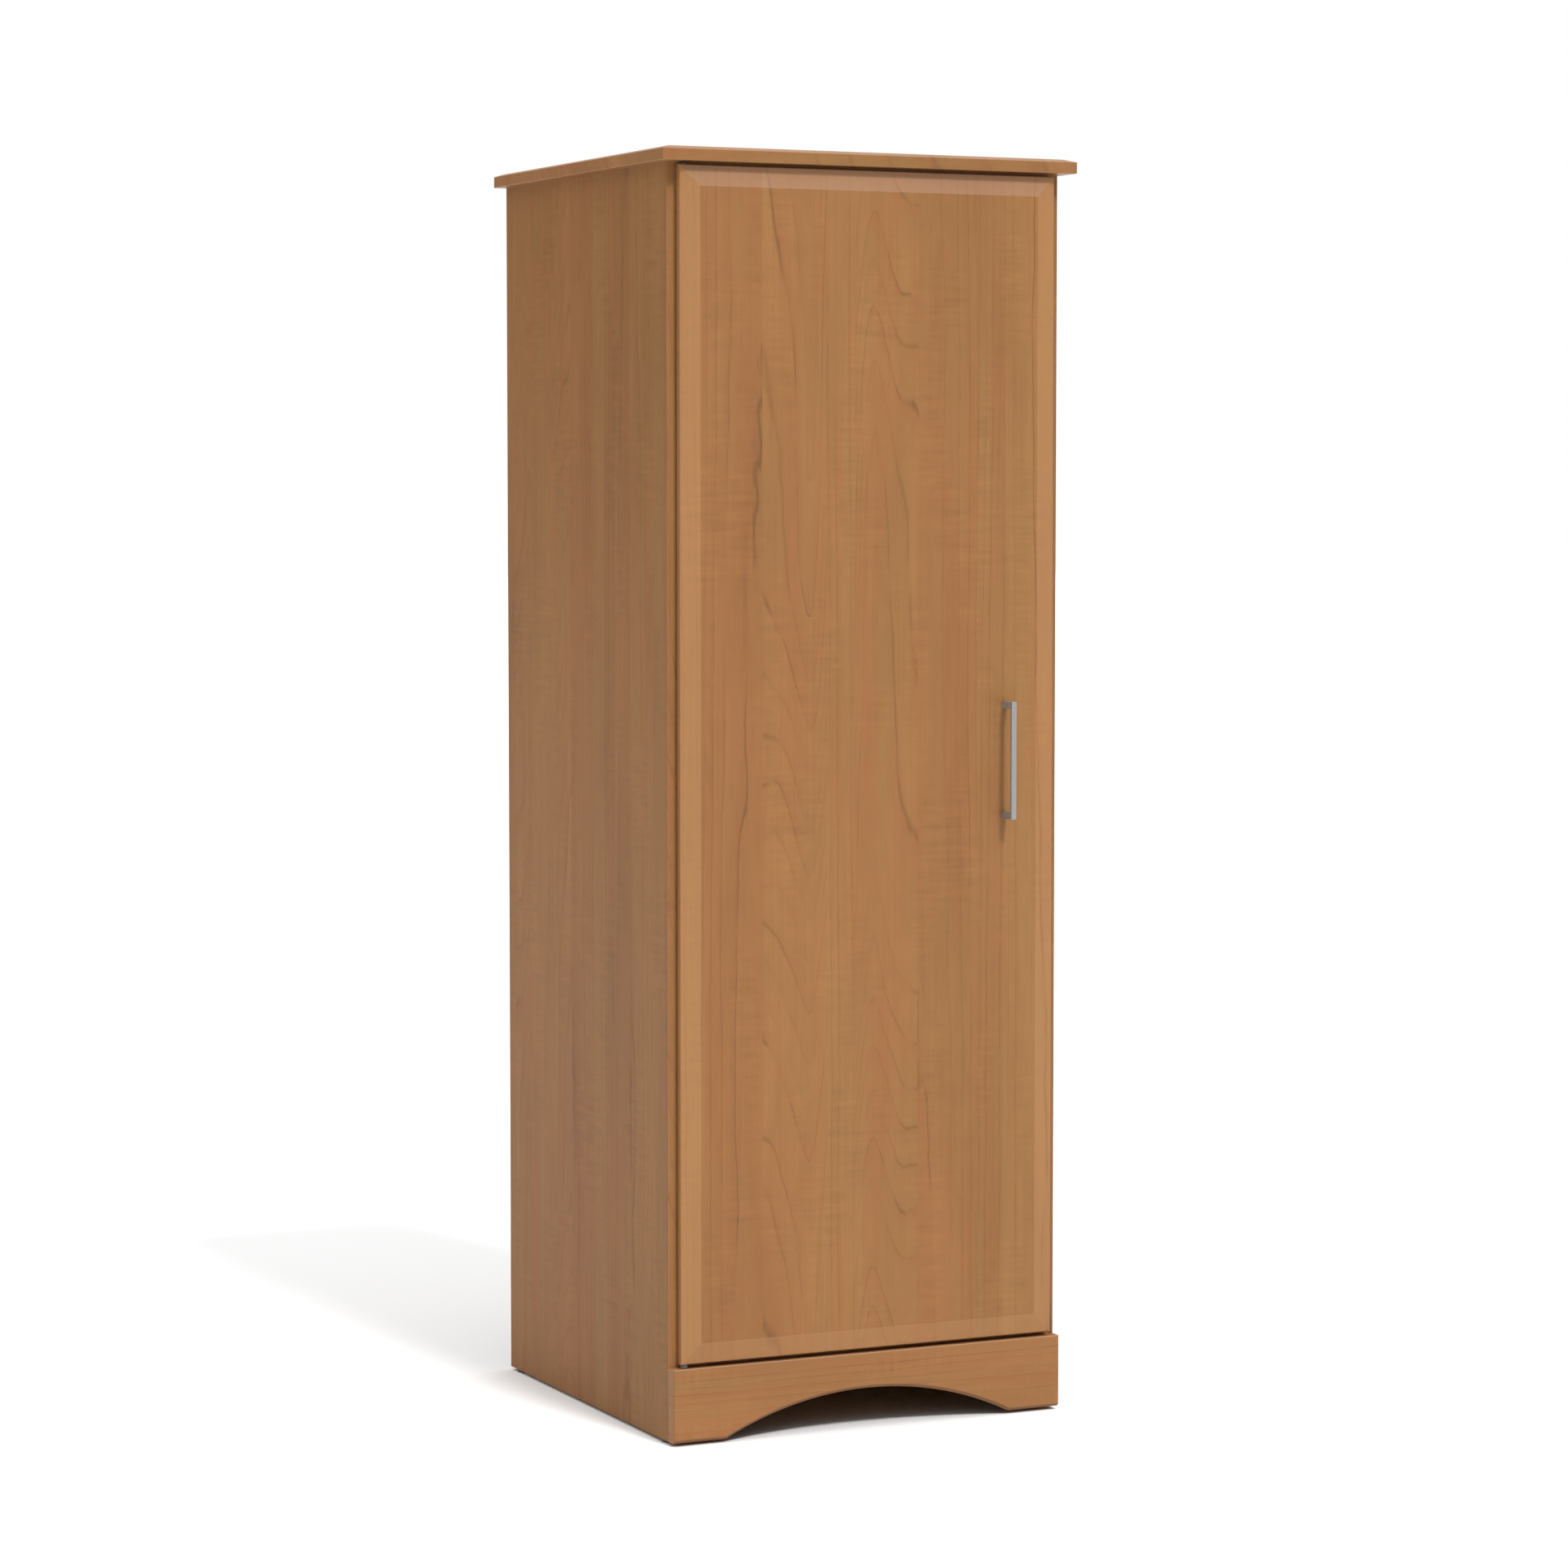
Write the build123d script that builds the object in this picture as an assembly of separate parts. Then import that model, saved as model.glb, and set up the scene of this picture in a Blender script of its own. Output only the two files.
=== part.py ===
from build123d import *
import os

# A tall single-door storage cabinet, in millimetres.
# X runs to the right, Y to the back and Z up, as someone facing the door sees it.
# The origin is on the floor, midway across the width and midway between
# the front of the door pull and the back edge of the cap.

# ---- Carcass
height = 1829.0             # floor to the top of the cap
carcass_w = 619.0           # across the outer faces of the side panels
carcass_d = 602.0           # front edge to back edge of a side panel
panel_t = 19.0              # laminated board of the sides, shelves and rails
band_t = 1.0                # edge band on the front edges
back_t = 6.0                # back panel
rabbet_w = 9.5              # how far the back panel runs into each side panel

# ---- Cap, the bevelled top that overhangs the carcass
cap_t = 20.8
cap_side = 17.0
cap_front = 29.0
cap_back = 8.0
cap_bevel_in = 15.4
cap_bevel_down = 4.6
cap_edge_r = 0.8

# ---- Base
glide_h = 5.0
glide_r = 8.5
glide_inset = 25.0          # glide centre from the side panel's front and back edges
glide_nail_r = 1.2
glide_nail_l = 16.0
rail_h = 105.6
rail_t = 19.0
rail_chamfer = 4.5          # on the lower front edge and along the arch
rail_edge_r = 1.0
foot_w = 82.5               # flat foot of the rail at each end of the arch
arch_rise = 54.0
bottom_lift = 13.4          # top of the bottom panel above the top of the rail
block_w = 26.0              # corner block behind the rail
block_d = 38.0
block_h = 66.0
block_lift = 8.0
rear_rail_lift = 14.0       # rear rail above the side panels' lower edges

# ---- Shelves
shelf_set_back = 24.0       # adjustable shelf behind the side panels' front edges
fixed_set_back = 4.0        # fixed middle shelf behind the same edges
shelf_side_gap = 1.5
shelf_back_gap = 6.0
shelves_per_bay = 2
pin_r = 2.5
pin_depth = 9.0
pin_collar_r = 4.0
pin_collar_t = 1.0
pin_stub_r = 3.0
pin_stub_l = 8.0
pin_front = 62.0            # front column of shelf holes from the side panel's front edge
pin_back = 84.0             # rear column from the back edge
pin_pitch = 32.0
pin_spare = 2               # spare holes above and below each shelf

# ---- Door
reveal = 13.0               # side panel edge left showing beside the door
door_t = 19.0
door_gap = 1.5              # behind the door
door_gap_top = 4.6
door_gap_bottom = 6.2
bevel_w = 29.6
bevel_d = 5.0
door_front_r = 2.2          # rounding of the door's front outer edges
door_back_r = 4.5           # rounding of its back edges, which lets it swing past the side

# ---- Door pivots: a pin at each end of the hinge edge, in a flanged bush
pivot_in = 6.5              # pivot axis from the door's hinge edge
pivot_ahead = 1.0           # pivot axis in front of the middle of the door's flat end
pivot_pin_r = 3.0
pivot_run = 0.05            # running clearance round the pin
pivot_pin_cap = 15.0        # length of pin held in the cap
pivot_pin_rail = 26.0       # length of pin held in the rail
pivot_pin_door = 15.0       # length of pin inside the door
bush_r = 4.5
bush_l = 17.0
flange_r = 5.5
flange_t = 1.2
washer_r = 5.5
washer_play = 0.1

# ---- Door pull
pull_centres = 160.0
pull_z = 961.5
pull_in = 81.5              # pull centre from the door's opening edge
pull_w = 8.0
pull_bar_t = 4.0
pull_post_h = 10.0
pull_reach = 30.0           # front of the bar from the door's face
pull_edge_r = 0.5
pull_screw_r = 2.0
pull_head_r = 4.5
pull_head_t = 2.2
pull_thread_l = 14.0        # screw length inside a post

# ---- Catches, strikes and bumpers
catch_w = 13.0
catch_h = 46.0
catch_d = 15.0
catch_ear_h = 9.0
catch_ear_t = 4.0
catch_from_end = 140.0      # catch centre from the bottom panel and from the sub-top
strike_w = 13.0
strike_h = 38.0
strike_t = 1.2
strike_play = 0.5
bumper_r = 2.5
bumper_t = 1.2
bumper_from_end = 60.0

# ---- Joints of the carcass
cam_r = 7.5
cam_h = 12.5
cam_reach = 24.0            # cam centre from the panel's end
cam_thread_r = 3.5
cam_thread_l = 11.0
cam_neck_r = 2.5
cam_head_r = 3.5
cam_head_l = 3.0
cam_bore_r = 4.0
cam_front = 75.0
cam_back = 95.0
dowel_r = 4.0
dowel_in_side = 12.0
dowel_in_end = 22.0
dowel_step = 40.0           # dowel from the cam beside it

# ---- Wall fixing rail
fixing_h = 80.0
fixing_centres = 406.4      # wall stud spacing
fixing_r = 2.75

# ---- Screws and fits
screw_r = 1.75
screw_head_r = 3.6
small_screw_r = 1.4
small_head_r = 2.8
cap_screw_l = 32.0
block_screw_l = 36.0
back_screw_l = 24.0
back_screw_gap = 300.0      # furthest apart that the back panel's screws may be
catch_screw_l = 15.0
strike_screw_l = 12.0
fit = 0.05                  # round a fastener or a pressed piece
panel_fit = 0.3             # round the back panel and the rails

# ---- Planes and places worked out from the sizes above
X = (1, 0, 0)
Y = (0, 1, 0)
Z = (0, 0, 1)
DOWN = (0, 0, -1)
FORWARD = (0, -1, 0)
SIDES = (-1, 1)

half_w = carcass_w / 2
inner_x = half_w - panel_t
front_y = -(carcass_d + cap_back - door_gap - door_t - pull_reach) / 2
back_y = front_y + carcass_d
back_panel_y = back_y - back_t
cap_z = height - cap_t
rail_top = glide_h + rail_h
bottom_top = rail_top + bottom_lift
bottom_z = bottom_top - panel_t
sub_top_z = cap_z - panel_t
middle_z = (bottom_top + sub_top_z - panel_t) / 2
door_back_y = front_y - door_gap
door_front_y = door_back_y - door_t
door_half_w = half_w - reveal
door_z = (rail_top + door_gap_bottom, cap_z - door_gap_top)
pivot_x = -door_half_w + pivot_in
pivot_y = (door_back_y + door_front_y + bevel_d) / 2 - pivot_ahead
pull_x = door_half_w - pull_in
cam_ys = (front_y + cam_front, back_y - cam_back)
dowel_ys = (cam_ys[0] + dowel_step, cam_ys[1] - dowel_step)
pin_ys = (front_y + pin_front, back_y - pin_back)
pull_zs = (pull_z - pull_centres / 2, pull_z + pull_centres / 2)
catch_zs = (bottom_top + catch_from_end, sub_top_z - catch_from_end)


def bay_shelves(low, high):
    """Undersides of the adjustable shelves that divide a bay into equal spaces."""
    space = (high - low - shelves_per_bay * panel_t) / (shelves_per_bay + 1)
    return [low + space + i * (space + panel_t) for i in range(shelves_per_bay)]


shelf_zs = bay_shelves(bottom_top, middle_z) + bay_shelves(middle_z + panel_t, sub_top_z)


# ---- Shapes
def block(x, y, z):
    """A box between a low and a high value along each axis."""
    lows = [min(pair) for pair in (x, y, z)]
    sizes = [abs(pair[1] - pair[0]) for pair in (x, y, z)]
    return Pos(*lows) * Box(*sizes, align=(Align.MIN, Align.MIN, Align.MIN))


def rod(radius, start, axis, length):
    """A cylinder that runs from start along axis."""
    ends = (Align.CENTER, Align.CENTER, Align.MIN)
    return Plane(start, z_dir=axis) * Cylinder(radius, length, align=ends)


def screw(head, axis, length, radius, head_radius, grow=0.0):
    """A countersunk wood screw from the face of its head, or with grow the hole it sits in."""
    ends = (Align.CENTER, Align.CENTER, Align.MIN)
    cone_h = head_radius - radius
    tip_h = 2 * radius
    shank_h = length - cone_h - tip_h
    body = Cone(head_radius + grow, radius + grow, cone_h, align=ends)
    body += Pos(0, 0, cone_h) * Cylinder(radius + grow, shank_h, align=ends)
    body += Pos(0, 0, cone_h + shank_h) * Cone(radius + grow, radius / 4, tip_h, align=ends)
    return Plane(head, z_dir=axis) * body


def along_y(points, y):
    """A flat outline in X and Z, drawn out between two values of Y."""
    face = make_face(Polyline(*[(px, 0, pz) for px, pz in points], close=True))
    return Pos(0, y[0], 0) * extrude(face, amount=y[1] - y[0], dir=Y)


def along_x(points, x):
    """A flat outline in Y and Z, drawn out between two values of X."""
    face = make_face(Polyline(*[(0, py, pz) for py, pz in points], close=True))
    return Pos(x[0], 0, 0) * extrude(face, amount=x[1] - x[0], dir=X)


def along_z(points, z):
    """A flat outline in X and Y, drawn out between two values of Z."""
    face = make_face(Polyline(*[(px, py, 0) for px, py in points], close=True))
    return Pos(0, 0, z[0]) * extrude(face, amount=z[1] - z[0], dir=Z)


def cut(shape, tools):
    """The shape with every tool taken out of it."""
    return shape - tools if tools else shape


def near(edges, axis, value):
    """The edges whose middle lies at a value along an axis."""
    return edges.filter_by_position(axis, value - 0.01, value + 0.01)


# ---- Fasteners of the carcass, which also shape their holes
def panel_cams(name):
    """Where a fixed panel's cams meet the side panels: side, y and z."""
    return [(side, y, fixed_panels[name] + panel_t / 2) for side in SIDES for y in cam_ys]


def cam_bolt(side, y, z, grow=0.0):
    """A bolt from inside a side panel to its head at the centre of the cam."""
    inward = (-side, 0, 0)
    head_x = side * (inner_x - cam_reach + cam_head_l / 2)
    bolt = rod(cam_thread_r + grow, (side * (inner_x + cam_thread_l), y, z), inward, cam_thread_l)
    bolt += rod(cam_neck_r, (side * inner_x, y, z), inward, cam_reach - cam_head_l / 2)
    bolt += rod(cam_head_r, (head_x, y, z), inward, cam_head_l)
    return bolt


def cam(side, y, z, face_z, grow=0.0):
    """A cam disc let into one face of a panel, slotted for the head of its bolt."""
    axis = DOWN if face_z > z else Z
    centre_x = side * (inner_x - cam_reach)
    disc = rod(cam_r + grow, (centre_x, y, face_z), axis, cam_h + grow)
    if grow:
        return disc
    reach = cam_head_r + 2 * fit
    slot_x = (centre_x - side * cam_head_l, centre_x + side * (cam_r + 1))
    return disc - block(slot_x, (y - reach, y + reach), (z - reach, z + reach))


def panel_dowels(name):
    """The dowels between a fixed panel's two ends and the side panels: side, y and z."""
    return [(side, y, fixed_panels[name] + panel_t / 2) for side in SIDES for y in dowel_ys]


def dowel(side, y, z, grow=0.0):
    """A round dowel, part in the side panel and part in the end of the piece beside it."""
    start = (side * (inner_x + dowel_in_side + grow), y, z)
    return rod(dowel_r + grow, start, (-side, 0, 0), dowel_in_side + dowel_in_end + 2 * grow)


fixed_panels = {"sub_top": sub_top_z, "middle_shelf": middle_z, "bottom_panel": bottom_z}
fixed_set_backs = {"sub_top": 0.0, "middle_shelf": fixed_set_back, "bottom_panel": 0.0}
cam_faces = {"sub_top": cap_z, "middle_shelf": middle_z, "bottom_panel": bottom_z}
rear_rail_z = (glide_h + rear_rail_lift, bottom_z)
fixing_z = (sub_top_z - fixing_h, sub_top_z)
rail_y = back_panel_y - panel_t / 2
rail_dowels = [
    (side, rail_y, low + share * (high - low))
    for low, high in (rear_rail_z, fixing_z)
    for side in SIDES
    for share in (0.25, 0.75)
]
all_dowels = rail_dowels + [place for name in fixed_panels for place in panel_dowels(name)]


# ---- Side panels and their edge bands
def pin_hole_zs():
    """Heights of the shelf holes: each shelf's own and its spares above and below."""
    steps = range(-pin_spare, pin_spare + 1)
    return [low - pin_stub_r + step * pin_pitch for low in shelf_zs for step in steps]


def side_panel(side):
    """A side panel with its rabbet, shelf holes, joint holes and glide nail holes."""
    panel = block((side * inner_x, side * half_w), (front_y + band_t, back_y), (glide_h, cap_z))
    panel -= block((side * inner_x, side * (inner_x + rabbet_w)), (back_panel_y, back_y), (bottom_z, cap_z))
    out = (side, 0, 0)
    holes = [
        rod(pin_r + fit, (side * inner_x, y, z), out, pin_depth + fit)
        for y in pin_ys
        for z in pin_hole_zs()
    ]
    holes += [
        rod(cam_thread_r + fit, (side * inner_x, y, z), out, cam_thread_l + fit)
        for name in fixed_panels
        for cam_side, y, z in panel_cams(name)
        if cam_side == side
    ]
    holes += [dowel(*place, grow=fit) for place in all_dowels if place[0] == side]
    holes += [glide_nail(x, y, grow=fit) for x, y in glide_places() if x * side > 0]
    holes += [block_screw(*place, grow=fit) for place in block_screw_places(side) if place[2]]
    holes += [back_screw(*place, grow=fit) for place in back_screw_places() if place[0] * side > inner_x]
    holes += [catch_screw(z, grow=fit) for z in catch_screw_zs() if side > 0]
    return cut(panel, holes)


def edge_band(x, y, z):
    """An edge band on the front edge of a panel."""
    return block(x, (y, y + band_t), z)


def side_edge_bands():
    """The two bands on the side panels' front edges."""
    return [edge_band((side * inner_x, side * half_w), front_y, (glide_h, cap_z)) for side in SIDES]


# ---- Fixed panels, shelves, back and rails
def fixed_panel(name, set_back):
    """A panel fixed between the sides, bored at its ends for cam bolts and dowels."""
    low = fixed_panels[name]
    y = (front_y + set_back + band_t, back_panel_y)
    panel = block((-inner_x, inner_x), y, (low, low + panel_t))
    tools = [dowel(*place, grow=fit) for place in panel_dowels(name)]
    for side, cam_y, z in panel_cams(name):
        tools.append(cam(side, cam_y, z, cam_faces[name], grow=fit))
        tools.append(rod(cam_bore_r, (side * inner_x, cam_y, z), (-side, 0, 0), cam_reach + cam_head_l))
    if name == "sub_top":
        tools += [cap_screw(x, y, grow=fit) for x, y in cap_screw_places()]
    tools += [
        back_screw(*place, grow=fit)
        for place in back_screw_places()
        if abs(place[0]) < inner_x and low < place[1] < low + panel_t
    ]
    return cut(panel, tools)


def adjustable_shelf(low):
    """A loose shelf that rests on four pins."""
    half = inner_x - shelf_side_gap
    y = (front_y + shelf_set_back + band_t, back_panel_y - shelf_back_gap)
    return block((-half, half), y, (low, low + panel_t))


def shelf_edge_bands():
    """The bands on the front edges of the fixed panels and the loose shelves."""
    bands = [
        edge_band((-inner_x, inner_x), front_y + fixed_set_backs[name], (low, low + panel_t))
        for name, low in fixed_panels.items()
    ]
    half = inner_x - shelf_side_gap
    bands += [edge_band((-half, half), front_y + shelf_set_back, (low, low + panel_t)) for low in shelf_zs]
    return bands


def shelf_pins():
    """Four pins under each loose shelf: a peg in the side panel, a collar and a stub."""
    pins = []
    for low in shelf_zs:
        for side in SIDES:
            inward = (-side, 0, 0)
            for y in pin_ys:
                z = low - pin_stub_r
                pin = rod(pin_r, (side * (inner_x + pin_depth), y, z), inward, pin_depth)
                collar = rod(pin_collar_r, (side * inner_x, y, z), inward, pin_collar_t)
                below_shelf = (z - pin_collar_r, low)
                collar &= block((-half_w, half_w), (y - pin_collar_r, y + pin_collar_r), below_shelf)
                pin += collar
                pin += rod(pin_stub_r, (side * inner_x, y, z), inward, pin_collar_t + pin_stub_l)
                pins.append(pin)
    return pins


def back_panel():
    """The thin back, let into the side panels and bored for wall fixings."""
    half = inner_x + rabbet_w - panel_fit
    panel = block((-half, half), (back_panel_y, back_y), (bottom_z + panel_fit, cap_z - panel_fit))
    tools = [back_screw(*place, grow=fit) for place in back_screw_places()]
    tools += fixing_holes()
    return cut(panel, tools)


def fixing_holes():
    """The two wall fixing holes, through the fixing rail and the back panel."""
    z = sum(fixing_z) / 2
    start_y = back_panel_y - panel_t - 1
    length = panel_t + back_t + 2
    return [rod(fixing_r, (side * fixing_centres / 2, start_y, z), Y, length) for side in SIDES]


def wall_fixing_rail():
    """The rail under the sub-top that takes the screws into the wall."""
    rail = block((-inner_x, inner_x), (back_panel_y - panel_t, back_panel_y), fixing_z)
    tools = fixing_holes()
    tools += [dowel(*place, grow=fit) for place in rail_dowels if place[2] > fixing_z[0]]
    return cut(rail, tools)


def rear_base_rail():
    """The plain rail under the back of the bottom panel."""
    rail = block((-inner_x, inner_x), (back_panel_y - panel_t, back_panel_y), rear_rail_z)
    return cut(rail, [dowel(*place, grow=fit) for place in rail_dowels if place[2] < bottom_z])


def back_screw_places():
    """Screws round the edge of the back panel: x and z, evenly spread."""
    edge_x = inner_x + rabbet_w / 2
    low = bottom_z + panel_t / 2
    high = sub_top_z + panel_t / 2
    across = round(2 * edge_x / back_screw_gap + 0.5)
    up = round((high - low) / back_screw_gap + 0.5)
    places = [(side * edge_x, low + i * (high - low) / up) for side in SIDES for i in range(up + 1)]
    places += [(-edge_x + i * 2 * edge_x / across, z) for z in (low, high) for i in range(1, across)]
    return places


def back_screw(x, z, grow=0.0):
    """A small screw through the back panel."""
    return screw((x, back_y, z), FORWARD, back_screw_l, small_screw_r, small_head_r, grow)


# ---- Base: arched rail, corner blocks and glides
def arched_rail():
    """The front base rail, with an arch between two feet and a chamfer along its lower edge."""
    y = (front_y - rail_t, front_y)
    arch_half = half_w - foot_w
    apex = (0, glide_h + arch_rise)
    outline = [
        Line((-half_w, rail_top), (half_w, rail_top)),
        Line((half_w, rail_top), (half_w, glide_h)),
        Line((half_w, glide_h), (arch_half, glide_h)),
        ThreePointArc((arch_half, glide_h), apex, (-arch_half, glide_h)),
        Line((-arch_half, glide_h), (-half_w, glide_h)),
        Line((-half_w, glide_h), (-half_w, rail_top)),
    ]
    face = Plane.XZ * make_face(outline)
    rail = Pos(0, y[1], 0) * extrude(face, amount=rail_t, dir=FORWARD)
    front = near(rail.edges(), Axis.Y, y[0])
    between = front.filter_by(lambda edge: abs(edge.center().X) < half_w - 1)
    lower = between.filter_by(lambda edge: edge.center().Z < rail_top - 1)
    rail = chamfer(lower, rail_chamfer)
    front = near(rail.edges(), Axis.Y, y[0])
    sides = front.filter_by(lambda edge: abs(edge.center().X) > half_w - 1)
    top = front.filter_by(lambda edge: edge.center().Z > rail_top - 1)
    rail = fillet(sides + top, rail_edge_r)
    places = block_screw_places(-1) + block_screw_places(1)
    tools = [block_screw(*place, grow=fit) for place in places if not place[2]]
    tools.append(pivot_pin_lower(grow=fit))
    return cut(rail, tools)


def block_span(side):
    """The box of a corner block behind the rail: x, y and z."""
    low = glide_h + block_lift
    x = (side * (inner_x - block_w), side * inner_x)
    return x, (front_y, front_y + block_d), (low, low + block_h)


def block_screw_places(side):
    """Screws of one corner block: side, height and whether they run into the side panel."""
    low, high = block_span(side)[2]
    shares = ((0.2, False), (0.8, False), (0.35, True), (0.65, True))
    return [(side, low + share * (high - low), into_side) for share, into_side in shares]


def block_screw(side, z, into_side, grow=0.0):
    """A screw through a corner block, into the side panel or into the rail."""
    if into_side:
        head = (side * (inner_x - block_w), front_y + block_d * 0.65, z)
        return screw(head, (side, 0, 0), block_screw_l, screw_r, screw_head_r, grow)
    head = (side * (inner_x - block_w / 2), front_y + block_d, z)
    return screw(head, FORWARD, block_d + rail_t * 0.6, screw_r, screw_head_r, grow)


def corner_blocks():
    """The two blocks that hold the arched rail to the side panels."""
    return [
        cut(block(*block_span(side)), [block_screw(*place, grow=fit) for place in block_screw_places(side)])
        for side in SIDES
    ]


def glide_places():
    """Centres of the four glides, under the side panels."""
    x = half_w - panel_t / 2
    return [(side * x, y) for side in SIDES for y in (front_y + glide_inset, back_y - glide_inset)]


def floor_glides():
    """Four nail-on glides with a rounded rim."""
    glides = []
    for x, y in glide_places():
        disc = rod(glide_r, (x, y, 0), Z, glide_h)
        disc = fillet(near(disc.edges(), Axis.Z, 0), glide_h / 4)
        glides.append(disc - glide_nail(x, y, grow=fit))
    return glides


def glide_nail(x, y, grow=0.0):
    """A glide's nail, its head sunk halfway up the glide."""
    nail = rod(glide_nail_r + grow, (x, y, glide_h / 2), Z, glide_h / 2 + glide_nail_l)
    nail += rod(2 * glide_nail_r + grow, (x, y, glide_h / 4), Z, glide_h / 4)
    return nail


# ---- Cap
def cap():
    """The top: bevelled at the front and both sides, square at the back."""
    x = half_w + cap_side
    y = (front_y - cap_front, back_y + cap_back)
    shoulder = height - cap_bevel_down
    across = [(-x, cap_z), (x, cap_z), (x, shoulder), (x - cap_bevel_in, height)]
    across += [(-x + cap_bevel_in, height), (-x, shoulder)]
    deep = [(y[0], cap_z), (y[1], cap_z), (y[1], height), (y[0] + cap_bevel_in, height), (y[0], shoulder)]
    top = along_y(across, y) & along_x(deep, (-x, x))
    top = top.solid()
    outer = top.edges().filter_by(
        lambda edge: (edge.center().Z < shoulder + 0.01)
        and (abs(abs(edge.center().X) - x) < 0.01 or abs(edge.center().Y - y[0]) < 0.01)
    )
    top = fillet(outer, cap_edge_r)
    tools = [cap_screw(x, y, grow=fit) for x, y in cap_screw_places()]
    tools.append(pivot_pin_upper(grow=fit))
    return cut(top, tools)


def cap_screw_places():
    """Screws that hold the cap down, driven up through the sub-top."""
    x = inner_x - 2 * cam_reach
    return [(side * x, y) for side in SIDES for y in (cam_ys[0], (cam_ys[0] + cam_ys[1]) / 2, cam_ys[1])]


def cap_screw(x, y, grow=0.0):
    """A screw up through the sub-top into the cap."""
    return screw((x, y, sub_top_z), Z, cap_screw_l, screw_r, screw_head_r, grow)


# ---- Door pivots
def pivot_pin_lower(grow=0.0):
    """The pin held in the rail, reaching up into the door."""
    length = pivot_pin_rail + door_gap_bottom + pivot_pin_door
    start = (pivot_x, pivot_y, rail_top - pivot_pin_rail - grow)
    return rod(pivot_pin_r + grow, start, Z, length + grow)


def pivot_pin_upper(grow=0.0):
    """The pin held in the cap, reaching down into the door."""
    length = pivot_pin_cap + door_gap_top + pivot_pin_door
    start = (pivot_x, pivot_y, cap_z + pivot_pin_cap + grow)
    return rod(pivot_pin_r + grow, start, DOWN, length + grow)


def bush(z, axis, grow=0.0):
    """A flanged bush in the end of the door, its sleeve running along axis."""
    outward = tuple(-value for value in axis)
    place = (pivot_x, pivot_y, z)
    sleeve = rod(bush_r + grow, place, axis, bush_l + grow)
    if grow:
        return sleeve
    sleeve += rod(flange_r, place, outward, flange_t)
    bore_start = (pivot_x, pivot_y, z - axis[2] * (flange_t + 1))
    return sleeve - rod(pivot_pin_r + pivot_run, bore_start, axis, bush_l + flange_t + 2)


def pivot_bushes():
    """The door's two bushes."""
    return [bush(door_z[0], Z), bush(door_z[1], DOWN)]


def thrust_washer():
    """The washer on the rail that carries the door's lower bush."""
    thick = door_gap_bottom - flange_t - washer_play
    ring = rod(washer_r, (pivot_x, pivot_y, rail_top), Z, thick)
    return ring - rod(pivot_pin_r + fit, (pivot_x, pivot_y, rail_top - 1), Z, thick + 2)


# ---- Door
def door_outline(low, high):
    """The door's section across one direction: a raised field between two bevels."""
    shoulder = door_front_y + bevel_d
    return [
        (low, door_back_y),
        (high, door_back_y),
        (high, shoulder),
        (high - bevel_w, door_front_y),
        (low + bevel_w, door_front_y),
        (low, shoulder),
    ]


def door_panel():
    """The door slab with its bevelled field, rounded edges and bores."""
    x = (-door_half_w, door_half_w)
    plan = along_z(door_outline(*x), door_z)
    upright = plan.edges().filter_by(Axis.Z)
    shoulder = door_front_y + bevel_d
    plan = fillet(near(upright, Axis.Y, shoulder), door_front_r)
    plan = fillet(near(plan.edges().filter_by(Axis.Z), Axis.Y, door_back_y), door_back_r)
    section = along_x([(py, pz) for pz, py in door_outline(*door_z)], x)
    section = fillet(near(section.edges().filter_by(Axis.X), Axis.Y, shoulder), door_front_r)
    slab = (plan & section).solid()
    tools = [bush(door_z[0], Z, grow=fit), bush(door_z[1], DOWN, grow=fit)]
    tools += [rod(pull_screw_r + fit, (pull_x, door_back_y + 1, z), FORWARD, door_t + 2) for z in pull_zs]
    tools += [strike_screw(z, side, grow=fit) for z in catch_zs for side in SIDES]
    return cut(slab, tools)


# ---- Door pull
def pull_bar():
    """The flat bar of the pull."""
    x = (pull_x - pull_w / 2, pull_x + pull_w / 2)
    y = (door_front_y - pull_reach, door_front_y - pull_reach + pull_bar_t)
    z = (pull_zs[0] - pull_post_h / 2, pull_zs[1] + pull_post_h / 2)
    bar = block(x, y, z)
    return fillet(near(bar.edges(), Axis.Y, y[0]), pull_edge_r)


def pull_posts():
    """The two posts between the bar and the door, tapped for their screws."""
    x = (pull_x - pull_w / 2, pull_x + pull_w / 2)
    y = (door_front_y - pull_reach + pull_bar_t, door_front_y)
    return [
        block(x, y, (z - pull_post_h / 2, z + pull_post_h / 2))
        - rod(pull_screw_r + fit, (pull_x, door_front_y, z), FORWARD, pull_thread_l + fit)
        for z in pull_zs
    ]


def pull_screws():
    """The screws from the back of the door into the posts."""
    return [
        rod(pull_head_r, (pull_x, door_back_y, z), Y, pull_head_t)
        + rod(pull_screw_r, (pull_x, door_back_y, z), FORWARD, door_t + pull_thread_l)
        for z in pull_zs
    ]


# ---- Catches, strikes and bumpers
def catch_screw_zs():
    """Heights of the catch screws, one in each ear of a catch."""
    step = (catch_h - catch_ear_h) / 2
    return [z + side * step for z in catch_zs for side in SIDES]


def catch_screw(z, grow=0.0):
    """A screw through a catch's ear into the right side panel."""
    head = (inner_x - catch_ear_t, front_y + strike_play + catch_d / 2, z)
    return screw(head, X, catch_screw_l, small_screw_r, small_head_r, grow)


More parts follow.
